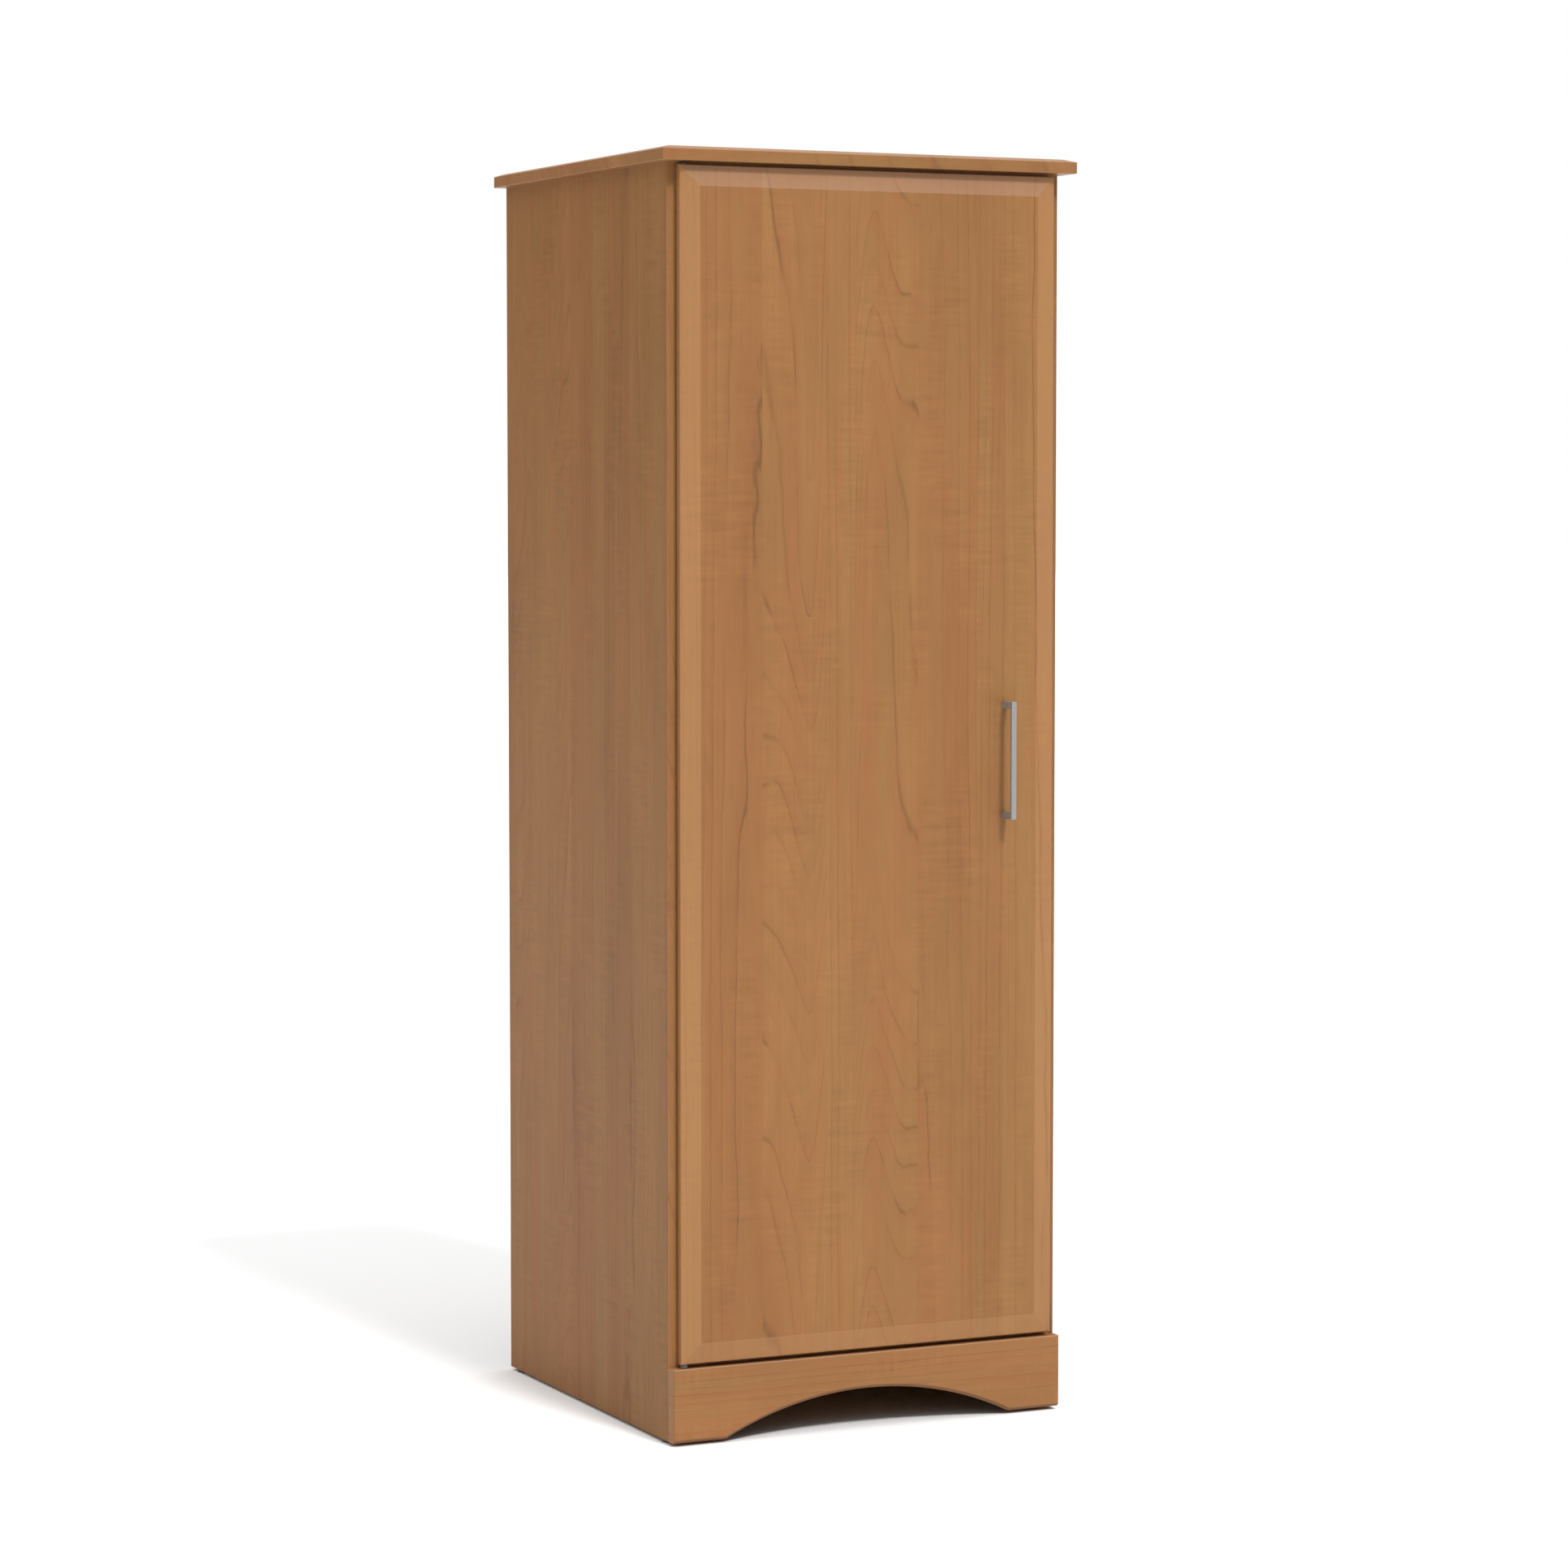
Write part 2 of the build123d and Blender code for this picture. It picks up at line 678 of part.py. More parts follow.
def door_catches():
    """Two magnetic catches on the right side panel, each with an ear at either end."""
    catches = []
    y = (front_y + strike_play, front_y + strike_play + catch_d)
    for z in catch_zs:
        body_h = catch_h / 2 - catch_ear_h
        body = block((inner_x - catch_w, inner_x), y, (z - body_h, z + body_h))
        body += block((inner_x - catch_ear_t, inner_x), y, (z - catch_h / 2, z + catch_h / 2))
        holes = [catch_screw(at, grow=fit) for at in catch_screw_zs() if abs(at - z) < catch_h]
        catches.append(cut(body, holes))
    return catches


def strike_x():
    """The span of a strike, in front of its catch."""
    return (inner_x - catch_w, inner_x - catch_w + strike_w)


def strike_screw(z, side, grow=0.0):
    """A screw through a strike into the back of the door."""
    place = (sum(strike_x()) / 2, door_back_y + strike_t, z + side * strike_h / 4)
    return screw(place, FORWARD, strike_screw_l, small_screw_r, small_head_r, grow)


def catch_strikes():
    """The two steel strikes on the back of the door."""
    y = (door_back_y, door_back_y + strike_t)
    return [
        block(strike_x(), y, (z - strike_h / 2, z + strike_h / 2))
        - [strike_screw(z, side, grow=fit) for side in SIDES]
        for z in catch_zs
    ]


def door_bumpers():
    """Soft dots on the right side panel's edge band, which the door closes on."""
    x = (inner_x + door_half_w) / 2
    zs = (door_z[0] + bumper_from_end, door_z[1] - bumper_from_end)
    return [rod(bumper_r, (x, front_y, z), FORWARD, bumper_t) for z in zs]


nodes = {
    "left_side_panel": [side_panel(-1)],
    "right_side_panel": [side_panel(1)],
    "side_edge_bands": side_edge_bands(),
    "cap": [cap()],
    "back_panel": [back_panel()],
    "wall_fixing_rail": [wall_fixing_rail()],
    "rear_base_rail": [rear_base_rail()],
    "arched_base_rail": [arched_rail()],
    "rail_corner_blocks": corner_blocks(),
    "rail_block_screws": [block_screw(*place) for side in SIDES for place in block_screw_places(side)],
    "floor_glides": floor_glides(),
    "glide_nails": [glide_nail(x, y) for x, y in glide_places()],
    "shelf_edge_bands": shelf_edge_bands(),
    "shelf_pins": shelf_pins(),
    "cam_locks": [cam(*place, cam_faces[name]) for name in fixed_panels for place in panel_cams(name)],
    "cam_bolts": [cam_bolt(*place) for name in fixed_panels for place in panel_cams(name)],
    "joint_dowels": [dowel(*place) for place in all_dowels],
    "cap_screws": [cap_screw(x, y) for x, y in cap_screw_places()],
    "back_panel_screws": [back_screw(x, z) for x, z in back_screw_places()],
    "pivot_pins": [pivot_pin_lower(), pivot_pin_upper()],
    "thrust_washer": [thrust_washer()],
    "door_catches": door_catches(),
    "catch_screws": [catch_screw(z) for z in catch_screw_zs()],
    "door_bumpers": door_bumpers(),
    "door_panel": [door_panel()],
    "pull_bar": [pull_bar()],
    "pull_posts": pull_posts(),
    "pull_screws": pull_screws(),
    "pivot_bushes": pivot_bushes(),
    "catch_strikes": catch_strikes(),
    "strike_screws": [strike_screw(z, side) for z in catch_zs for side in SIDES],
}
for name, set_back in fixed_set_backs.items():
    nodes[name] = [fixed_panel(name, set_back)]
for number, low in enumerate(shelf_zs, start=1):
    nodes[f"adjustable_shelf_{number}"] = [adjustable_shelf(low)]

os.makedirs("parts", exist_ok=True)
for name, shapes in nodes.items():
    solids = [solid for shape in shapes for solid in shape.solids()]
    export_step(solids[0] if len(solids) == 1 else Compound(solids), f"parts/{name}.step")
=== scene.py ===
import math

import bmesh
import bpy
import numpy as np
from mathutils import Matrix, Vector


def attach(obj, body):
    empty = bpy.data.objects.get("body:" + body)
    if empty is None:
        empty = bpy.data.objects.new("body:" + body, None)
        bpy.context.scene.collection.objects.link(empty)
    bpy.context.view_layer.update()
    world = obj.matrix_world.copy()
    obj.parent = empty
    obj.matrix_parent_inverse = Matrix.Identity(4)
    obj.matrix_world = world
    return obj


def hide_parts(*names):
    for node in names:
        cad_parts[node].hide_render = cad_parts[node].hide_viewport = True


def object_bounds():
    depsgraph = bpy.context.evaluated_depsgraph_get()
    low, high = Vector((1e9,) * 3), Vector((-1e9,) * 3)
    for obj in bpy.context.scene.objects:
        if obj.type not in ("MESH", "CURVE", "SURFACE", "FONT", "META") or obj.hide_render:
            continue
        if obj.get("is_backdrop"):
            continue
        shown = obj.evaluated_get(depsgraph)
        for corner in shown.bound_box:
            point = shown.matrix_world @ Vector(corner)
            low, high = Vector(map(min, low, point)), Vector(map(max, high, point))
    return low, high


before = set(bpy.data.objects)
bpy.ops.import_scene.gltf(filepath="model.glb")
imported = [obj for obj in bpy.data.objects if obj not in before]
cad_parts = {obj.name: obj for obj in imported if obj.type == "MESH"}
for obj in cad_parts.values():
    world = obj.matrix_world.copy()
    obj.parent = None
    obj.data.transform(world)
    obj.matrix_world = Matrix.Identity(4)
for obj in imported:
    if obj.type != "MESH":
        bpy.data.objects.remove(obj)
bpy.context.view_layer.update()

# ---- Side panels
# Two upright boards of particleboard with a printed cherry laminate pressed on both faces, the grain
# upright. Only their front edges are banded, so the core shows at the back, at the foot and in every hole.


class Field:
    """A number that changes over a surface. Arithmetic between fields adds Math nodes to their tree."""

    def __init__(self, tree, socket):
        self.tree = tree
        self.socket = socket

    def maths(self, operation, *others, clamp=False):
        node = self.tree.nodes.new("ShaderNodeMath")
        node.operation = operation
        node.use_clamp = clamp
        for number, value in enumerate((self, *others)):
            if isinstance(value, Field):
                self.tree.links.new(value.socket, node.inputs[number])
            else:
                node.inputs[number].default_value = value
        return Field(self.tree, node.outputs[0])

    def __add__(self, other):
        return self.maths("ADD", other)

    def __sub__(self, other):
        return self.maths("SUBTRACT", other)

    def __mul__(self, other):
        return self.maths("MULTIPLY", other)

    def __truediv__(self, other):
        return self.maths("DIVIDE", other)

    def __pow__(self, other):
        return self.maths("POWER", other)

    def spread(self, low, high, to_low=0.0, to_high=1.0):
        """The field eased from its own low and high to two new values, and held there outside them."""
        node = self.tree.nodes.new("ShaderNodeMapRange")
        node.interpolation_type = "SMOOTHSTEP"
        self.tree.links.new(self.socket, node.inputs["Value"])
        for key, value in (("From Min", low), ("From Max", high), ("To Min", to_low), ("To Max", to_high)):
            if isinstance(value, Field):
                self.tree.links.new(value.socket, node.inputs[key])
            else:
                node.inputs[key].default_value = value
        return Field(self.tree, node.outputs["Result"])


def socket_of(value):
    """The socket of a field, or the value itself."""
    return value.socket if isinstance(value, Field) else value


def split(tree, vector):
    """The three fields of a vector."""
    node = tree.nodes.new("ShaderNodeSeparateXYZ")
    tree.links.new(vector, node.inputs[0])
    return [Field(tree, output) for output in node.outputs]


def stretched_noise(tree, place, across, along, layer, detail=2.0, deep=None):
    """Noise with a size across the grain and a size along it, in metres, cut from its own layer."""
    layer_step = (3.7, 1.9, 5.3)
    mapping = tree.nodes.new("ShaderNodeMapping")
    tree.links.new(place, mapping.inputs["Vector"])
    mapping.inputs["Scale"].default_value = (1 / across, 1 / along, 1 / deep if deep else 0.0)
    mapping.inputs["Location"].default_value = [layer * step for step in layer_step]
    noise = tree.nodes.new("ShaderNodeTexNoise")
    noise.inputs["Scale"].default_value = 1.0
    noise.inputs["Detail"].default_value = detail
    tree.links.new(mapping.outputs[0], noise.inputs["Vector"])
    return Field(tree, noise.outputs["Fac"])


def even_noise(tree, place, size, layer, detail=2.0):
    """Noise of one size in every direction, in metres."""
    return stretched_noise(tree, place, size, size, layer, detail, deep=size)


def random_of(tree, number):
    """Three even random fields that change only where a whole number changes."""
    node = tree.nodes.new("ShaderNodeTexWhiteNoise")
    node.noise_dimensions = "1D"
    tree.links.new(number.socket, node.inputs["W"])
    return split(tree, node.outputs["Color"])


def blend(tree, amount, first, second, mode="MIX"):
    """Two colours mixed by a field or a number."""
    node = tree.nodes.new("ShaderNodeMix")
    node.data_type = "RGBA"
    node.blend_type = mode
    sockets = {"Factor": node.inputs[0], "A": node.inputs[6], "B": node.inputs[7]}
    for key, value in (("Factor", amount), ("A", first), ("B", second)):
        value = socket_of(value)
        if isinstance(value, bpy.types.NodeSocket):
            tree.links.new(value, sockets[key])
        elif key == "Factor":
            sockets[key].default_value = value
        else:
            sockets[key].default_value = (*value, 1.0)
    return node.outputs[2]


def weighted(base, *parts):
    """A base value plus each field times its share."""
    total = base
    for field, share in parts:
        total = field * share + total
    return total


def new_group(name, **inputs):
    """A shader group with a Place and other named inputs, and a colour, a roughness and a height to give."""
    tree = bpy.data.node_groups.new(name, "ShaderNodeTree")
    number, colour = "NodeSocketFloat", "NodeSocketColor"
    tree.interface.new_socket("Place", in_out="INPUT", socket_type="NodeSocketVector")
    for key, value in inputs.items():
        kind = colour if isinstance(value, tuple) else number
        made = tree.interface.new_socket(key.replace("_", " "), in_out="INPUT", socket_type=kind)
        made.default_value = (*value, 1.0) if isinstance(value, tuple) else value
    for key, kind in (("Color", colour), ("Roughness", number), ("Height", number)):
        tree.interface.new_socket(key, in_out="OUTPUT", socket_type=kind)
    return tree, tree.nodes.new("NodeGroupInput").outputs


def give(tree, colour, rough, height):
    """Links what a group gives."""
    end = tree.nodes.new("NodeGroupOutput")
    tree.links.new(colour, end.inputs["Color"])
    tree.links.new(rough.socket, end.inputs["Roughness"])
    tree.links.new(height.socket, end.inputs["Height"])
    return tree


wood_tone = (0.266, 0.131, 0.048)
warm_tone = (0.272, 0.119, 0.045)
line_tone = (0.075, 0.034, 0.015)


def make_cherry_grain():
    """Printed cherry. Place runs across the grain in X and along it in Y.

    The print is strips of veneer side by side, two of every seven of them flat sawn. In each strip
    q = (distance from the pith + swell + taper * along) / ring gap + noise. A dark line is drawn where q is
    whole, and the wood darkens gently before it. In a flat-sawn strip the distance is
    beside ** 2 / (crown + widening * |beside|) and the taper is strong, so it shows nested arches, and the
    swell is a slow sine along the strip that makes them uneven. In the others the distance is
    sqrt(beside ** 2 + shallow ** 2) and the taper is slight, so they show long wavering lines. Pores,
    streaks, clouds and a cross ripple lie over that.
    """
    tree, given = new_group(
        "cherry grain", Wood=wood_tone, Warm_Wood=warm_tone, Line=line_tone, Line_Strength=1.0, Contrast=1.0
    )
    place = given["Place"]
    across, along, _ = split(tree, place)

    # strips of uneven width, each with its own pith, taper and tone
    strip_w = 0.073
    uneven_rate, uneven_start, uneven_share, strip_start = 2.1, 1.266, 0.42, 0.103
    strips = across / strip_w
    strips = strips + (strips * uneven_rate + uneven_start).maths("SINE") * uneven_share + strip_start
    strip = strips.maths("FLOOR")
    from_middle = (strips.maths("FRACT") - 0.5) * strip_w
    first_seed, second_seed = 101.5, 171.5
    pith_luck, side_luck, tone_luck = random_of(tree, strip + first_seed)
    hue_luck, shift_luck, lean_luck = random_of(tree, strip + second_seed)

    # the first and the sixth strip of every seven are flat sawn
    period, nudge, near = 7.0, 0.01, 0.05
    in_period = (strip / period + nudge).maths("FRACT")
    first = in_period.maths("LESS_THAN", 2 * near)
    sixth = (in_period - (5 / period + nudge)).maths("ABSOLUTE").maths("LESS_THAN", near)
    arched = first + sixth
    straight = arched * -1.0 + 1.0

    # a flat-sawn strip has its pith near its middle, and the others have it well outside
    pith_spread = 0.15
    far_least, far_spread = 0.62, 0.6
    far_off = (side_luck - 0.5).maths("SIGN") * (pith_luck * far_spread + far_least)
    pith = ((pith_luck - 0.5) * pith_spread * arched + far_off * straight) * strip_w
    arched_taper, least_taper = 0.17, 0.010
    lean = (lean_luck - 0.5).maths("SIGN")
    taper = lean * (arched * arched_taper + least_taper)

    # rings
    shallow, crown, widening = 0.007, 0.016, 0.4
    beside = from_middle - pith
    straight_out = (beside * beside + shallow**2).maths("SQRT")
    crowned_out = beside * beside / (beside.maths("ABSOLUTE") * widening + crown)
    distance = straight_out + (crowned_out - straight_out) * arched
    swell_rate, swell_starts, swell_depth = 4.1, 9.0, 0.035
    swell = (along * swell_rate + shift_luck * swell_starts).maths("SINE") * arched * lean * -swell_depth
    slow = stretched_noise(tree, place, 0.070, 0.420, 1.0, detail=1.0) - 0.5
    wander = stretched_noise(tree, place, 0.022, 0.110, 2.0, detail=1.0) - 0.5
    jitter = stretched_noise(tree, place, 0.006, 0.030, 3.0, detail=1.0) - 0.5
    ring_gap, ring_starts = 0.019, 7.0
    least_slow = 0.9
    rings = (distance + swell + taper * along) / ring_gap + shift_luck * ring_starts
    rings = rings + weighted(0.0, (slow, arched + least_slow), (wander, 0.25), (jitter, 0.06))

    # the distance to the nearest line in metres: the part of a ring over the rings per metre. The slope of
    # the crowned distance is near crown_slope times distance / beside
    crown_slope, least_slope = 1.6, 0.05
    part = rings.maths("FRACT")
    to_line = (part - 0.5).maths("ABSOLUTE") * -1.0 + 0.5
    slope = distance / beside * arched * crown_slope + beside / distance * straight
    per_metre = (slope * slope + taper * taper + least_slope).maths("SQRT") / ring_gap
    from_line = to_line / per_metre

    # each line has its own strength and width, and comes and goes
    seeds_apart = 41.0
    ring = (rings + 0.5).maths("FLOOR") + strip * seeds_apart
    ring_luck, width_luck, _ = random_of(tree, ring)
    brief = stretched_noise(tree, place, 0.030, 0.110, 4.0, detail=2.0).spread(0.34, 0.54)
    lasting = stretched_noise(tree, place, 0.012, 0.600, 24.0, detail=1.0).spread(0.34, 0.50)
    uneven = stretched_noise(tree, place, 0.010, 0.045, 25.0, detail=2.0).spread(0.35, 0.60, 0.45, 1.0)
    arched_share, straight_share, strongest, luck_power = 0.36, 0.80, 0.40, 0.9
    fade = brief * arched * arched_share + lasting * uneven * straight * straight_share
    strength = ((ring_luck**luck_power) * fade).maths("MINIMUM", strongest)
    line_w, halo_w = 0.0006, 0.0024
    width = width_luck * line_w + line_w
    hairline = from_line.spread(0.0, width, 1.0, 0.0) * strength
    halo = from_line.spread(0.0, halo_w, 1.0, 0.0) * strength
    late_power = 3.0
    late = (part**late_power) * ring_luck

    # tone, warmth, streaks, pores and ripple
    patch = stretched_noise(tree, place, 0.055, 0.360, 5.0) - 0.5
    warm = stretched_noise(tree, place, 0.024, 0.500, 6.0) - 0.5
    streak = stretched_noise(tree, place, 0.0045, 0.200, 7.0, detail=3.0) - 0.5
    fibre = stretched_noise(tree, place, 0.0009, 0.028, 8.0, detail=2.0) - 0.5
    pores = stretched_noise(tree, place, 0.0006, 0.0045, 9.0, detail=1.0).spread(0.62, 0.74)
    cloud = stretched_noise(tree, place, 0.016, 0.040, 27.0, detail=3.0) - 0.5
    ripple_where = stretched_noise(tree, place, 0.060, 0.240, 10.0).spread(0.44, 0.62)
    ripple = (stretched_noise(tree, place, 0.050, 0.0075, 11.0, detail=1.0) - 0.5) * ripple_where

    tone = weighted(
        0.0, (patch, 0.28), (tone_luck - 0.5, 0.075), (streak, 0.17), (fibre, 0.10), (cloud, 0.12),
        (ripple, 0.26), (late, -0.055), (halo, -0.07), (pores, -0.06),
    )
    tone = tone * Field(tree, given["Contrast"]) + 1.0
    even_warmth = 0.45
    warmth = weighted(even_warmth, (warm, 2.6), (hue_luck - 0.5, 0.9), (late, 0.5))
    colour = blend(tree, warmth.maths("ADD", 0.0, clamp=True), given["Wood"], given["Warm Wood"])
    shade = tree.nodes.new("ShaderNodeCombineColor")
    for socket in ("Red", "Green", "Blue"):
        tree.links.new(tone.socket, shade.inputs[socket])
    colour = blend(tree, 1.0, colour, shade.outputs[0], mode="MULTIPLY")
    colour = blend(tree, hairline * Field(tree, given["Line Strength"]), colour, given["Line"])
    satin = 0.43
    rough = weighted(satin, (fibre, 0.10), (pores, 0.10), (hairline, 0.08), (patch, 0.05))
    height = weighted(0.0, (fibre, 0.35), (pores, -0.6), (hairline, -0.8))
    return give(tree, colour, rough, height)


def make_board_core():
    """Particleboard core: pale flakes with a tone each, dark specks among them, and slow clumps."""
    tree, given = new_group("board core")
    place = given["Place"]
    flakes_per_metre = 620.0
    flakes = tree.nodes.new("ShaderNodeTexVoronoi")
    flakes.inputs["Scale"].default_value = flakes_per_metre
    tree.links.new(place, flakes.inputs["Vector"])
    flake_luck, speck_luck, _ = split(tree, flakes.outputs["Color"])
    edge = Field(tree, flakes.outputs["Distance"])
    clump_size = 0.004
    clumps = even_noise(tree, place, clump_size, 12.0, detail=4.0) - 0.5
    specks = speck_luck.spread(0.88, 0.93)
    dark_flake, pale_flake, speck_tone = (0.30, 0.17, 0.085), (0.62, 0.43, 0.25), (0.13, 0.065, 0.03)
    least_pale, speck_strength, dull = 0.25, 0.55, 0.86
    paleness = weighted(least_pale, (flake_luck, 0.45), (clumps, 0.5))
    colour = blend(tree, paleness.maths("ADD", 0.0, clamp=True), dark_flake, pale_flake)
    colour = blend(tree, specks * speck_strength, colour, speck_tone)
    height = weighted(0.0, (flake_luck, 0.6), (edge, -0.8), (clumps, 1.0))
    return give(tree, colour, weighted(dull, (clumps, 0.1)), height)


cherry_grain = make_cherry_grain()
board_core = make_board_core()
rightward = Vector((1, 0, 0))
backward = Vector((0, 1, 0))
up = Vector((0, 0, 1))


def new_material(name, **sockets):
    """A material with one Principled BSDF, its sockets set by name, and its object's coordinates."""
    material = bpy.data.materials.new(name)
    material.use_nodes = True
    tree = material.node_tree
    shader = next(node for node in tree.nodes if node.type == "BSDF_PRINCIPLED")
    for key, value in sockets.items():
        shader.inputs[key.replace("_", " ")].default_value = value
    spot = tree.nodes.new("ShaderNodeTexCoord")
    return material, tree, shader, spot


def put_group(tree, group, **values):
    """A group placed in a tree. Underscores in the keywords stand for spaces in the socket names."""
    node = tree.nodes.new("ShaderNodeGroup")
    node.node_tree = group
    for key, value in values.items():
        socket = node.inputs[key.replace("_", " ")]
        if isinstance(value, bpy.types.NodeSocket):
            tree.links.new(value, socket)
        else:
            socket.default_value = (*value, 1.0) if isinstance(value, tuple) and len(value) == 3 else value
    return node.outputs


def turned_place(tree, spot, across, along, start=(0.0, 0.0, 0.0)):
    """The object's own coordinates turned so that X runs across the grain and Y along it."""
    across = across.normalized()
    along = (along - across * along.dot(across)).normalized()
    mapping = tree.nodes.new("ShaderNodeMapping")
    turn = Matrix((across, along, across.cross(along))).to_euler()
    mapping.inputs["Rotation"].default_value = turn
    mapping.inputs["Location"].default_value = start
    tree.links.new(spot.outputs["Object"], mapping.inputs["Vector"])
    return mapping.outputs[0]


def wear(tree, shader, colour, rough, height, depth):
    """Feeds a colour, a roughness and bumps of a depth in metres to the shader."""
    bump = tree.nodes.new("ShaderNodeBump")
    bump.inputs["Distance"].default_value = depth
    tree.links.new(socket_of(height), bump.inputs["Height"])
    tree.links.new(bump.outputs[0], shader.inputs["Normal"])
    tree.links.new(colour, shader.inputs["Base Color"])
    tree.links.new(socket_of(rough), shader.inputs["Roughness"])


def put_cherry(tree, spot, across, along, start, shade=1.0, **looks):
    """The cherry print laid along one direction, with its two wood tones times a shade."""
    place = turned_place(tree, spot, across, along, start)
    wood, warm_wood = (tuple(part * shade for part in tone) for tone in (wood_tone, warm_tone))
    return put_group(tree, cherry_grain, Place=place, Wood=wood, Warm_Wood=warm_wood, **looks)


def two_sided(tree, on_first, first, second, first_height, second_height):
    """The colour, roughness and height of one group where a mask is 1, and of another where it is 0."""
    on_second = on_first * -1.0 + 1.0
    colour = blend(tree, on_first, second["Color"], first["Color"])
    rough = Field(tree, first["Roughness"]) * on_first + Field(tree, second["Roughness"]) * on_second
    first_part = Field(tree, first["Height"]) * on_first * first_height
    return colour, rough, first_part + Field(tree, second["Height"]) * on_second * second_height


def laminate(name, face, across, along, start, shade=1.0, **looks):
    """A board's material: printed cherry on the two faces whose normal is given, and bare core elsewhere."""
    core_depth = 0.0003
    material, tree, shader, spot = new_material(name, Specular_IOR_Level=0.06)
    grain = put_cherry(tree, spot, across, along, start, shade, **looks)
    core = put_group(tree, board_core, Place=spot.outputs["Object"])
    facing = tree.nodes.new("ShaderNodeVectorMath")
    facing.operation = "DOT_PRODUCT"
    facing.inputs[1].default_value = face
    tree.links.new(spot.outputs["Normal"], facing.inputs[0])
    on_face = Field(tree, facing.outputs["Value"]).maths("ABSOLUTE").spread(0.80, 0.95)
    looks_of_both = two_sided(tree, on_face, grain, core, first_height=0.06, second_height=0.5)
    wear(tree, shader, *looks_of_both, core_depth)
    return material


def dress(material, *names):
    """Gives CAD nodes a material."""
    for name in names:
        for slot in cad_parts[name].material_slots:
            slot.link = "OBJECT"
            slot.material = material


upright_start = (-0.229, 0.9, 0.0)
# the sides' print is darkened to 0.92 as painted shade, since they face away from the key light
upright_laminate = laminate(
    "upright laminate", rightward, backward, up, upright_start, shade=0.92, Line_Strength=0.6, Contrast=1.15
)
dress(upright_laminate, "left_side_panel", "right_side_panel")

# ---- Edge bands
# Strips of the same print, 1 mm thick, glued with hot melt along the front edges of the sides and shelves.
# The print follows the length of each edge, and the strip's corners are scraped smooth, with a painted
# highlight that makes them a touch paler.

# painted light for foil slopes: a paler tone as a painted highlight, and a pinkish grey as a painted
# reflection of the sky
bevel_highlight_tone = (0.415, 0.213, 0.094)
sky_reflection_tone = (0.400, 0.250, 0.175)


def foil(name, across, along, start, shade=1.0, painted_slope_share=0.30, painted_slope_tone=bevel_highlight_tone, **looks):
    """Printed cherry on every face, with painted light on its slopes and rounded edges.

    There a given tone is mixed in, by default a paler one as a painted highlight. Slopes that lean back get
    a pinkish grey, a painted reflection of the sky.
    """
    grain_depth = 0.00003
    material, tree, shader, spot = new_material(name, Specular_IOR_Level=0.15)
    grain = put_cherry(tree, spot, across, along, start, shade, **looks)
    normal = split(tree, spot.outputs["Normal"])
    sides = [part.maths("ABSOLUTE") for part in normal]
    square = sides[0].maths("MAXIMUM", sides[1]).maths("MAXIMUM", sides[2])
    # painted light: where a face is not square, the print is mixed towards a painted tone by the share given
    painted_slope_mask = square.spread(0.988, 0.998, painted_slope_share, 0.0)
    # slopes that lean back get the pinkish grey, a painted reflection of the sky
    faces_sky = normal[2].spread(0.05, 0.15)
    painted_slope_colour = blend(tree, faces_sky, painted_slope_tone, sky_reflection_tone)
    colour = blend(tree, painted_slope_mask, grain["Color"], painted_slope_colour)
    wear(tree, shader, colour, grain["Roughness"], grain["Height"], grain_depth)
    return material


dress(foil("upright edge band", rightward, up, (0.2, 0.1, 0.0)), "side_edge_bands")
dress(foil("shelf edge band", up, rightward, (0.0, 0.3, 0.0)), "shelf_edge_bands")

# ---- Fixed panels and shelves
# The same laminated board with its grain running from side to side. The sub-top, the middle shelf and the
# bottom panel are joined to the sides, and the four others lie loose on pins.

flat_laminate = laminate("flat laminate", up, backward, rightward, (0.11, 0.2, 0.0))
dress(flat_laminate, "sub_top", "middle_shelf", "bottom_panel")
dress(flat_laminate, "adjustable_shelf_1", "adjustable_shelf_2", "adjustable_shelf_3", "adjustable_shelf_4")

# ---- Hidden rails
# Laminated board set on edge between the sides, on dowels: the rail under the sub-top that the wall screws
# go through, and the plain rail at the back of the base.

rail_laminate = laminate("rail laminate", backward, up, rightward, (0.0, 0.4, 0.0))
dress(rail_laminate, "wall_fixing_rail", "rear_base_rail")

# ---- Back panel
# Hardboard laid in a rabbet and screwed round its edge, and printed on the side that shows inside. Its back
# is left bare: brown pressed fibre with the faint square mark of the screen that it was pressed on.


def make_pressed_fibre():
    """Bare hardboard: matted fibres at two sizes, and a screen mark, sin(x) * sin(z) with a 1.6 mm step."""
    tree, given = new_group("pressed fibre")
    place = given["Place"]
    x, _, z = split(tree, place)
    screen_step = 0.0016
    turns = 2 * math.pi / screen_step
    screen = (x * turns).maths("SINE") * (z * turns).maths("SINE")
    fibre_size, cloud_size = 0.0012, 0.045
    matted = even_noise(tree, place, fibre_size, 13.0, detail=4.0) - 0.5
    clouds = even_noise(tree, place, cloud_size, 14.0, detail=3.0) - 0.5
    dark_fibre, pale_fibre = (0.160, 0.086, 0.042), (0.330, 0.196, 0.105)
    half_pale, dull = 0.5, 0.78
    paleness = weighted(half_pale, (matted, 1.1), (clouds, 0.35), (screen, 0.03))
    colour = blend(tree, paleness.maths("ADD", 0.0, clamp=True), dark_fibre, pale_fibre)
    return give(tree, colour, weighted(dull, (matted, 0.1)), weighted(0.0, (matted, 1.0), (screen, 0.35)))


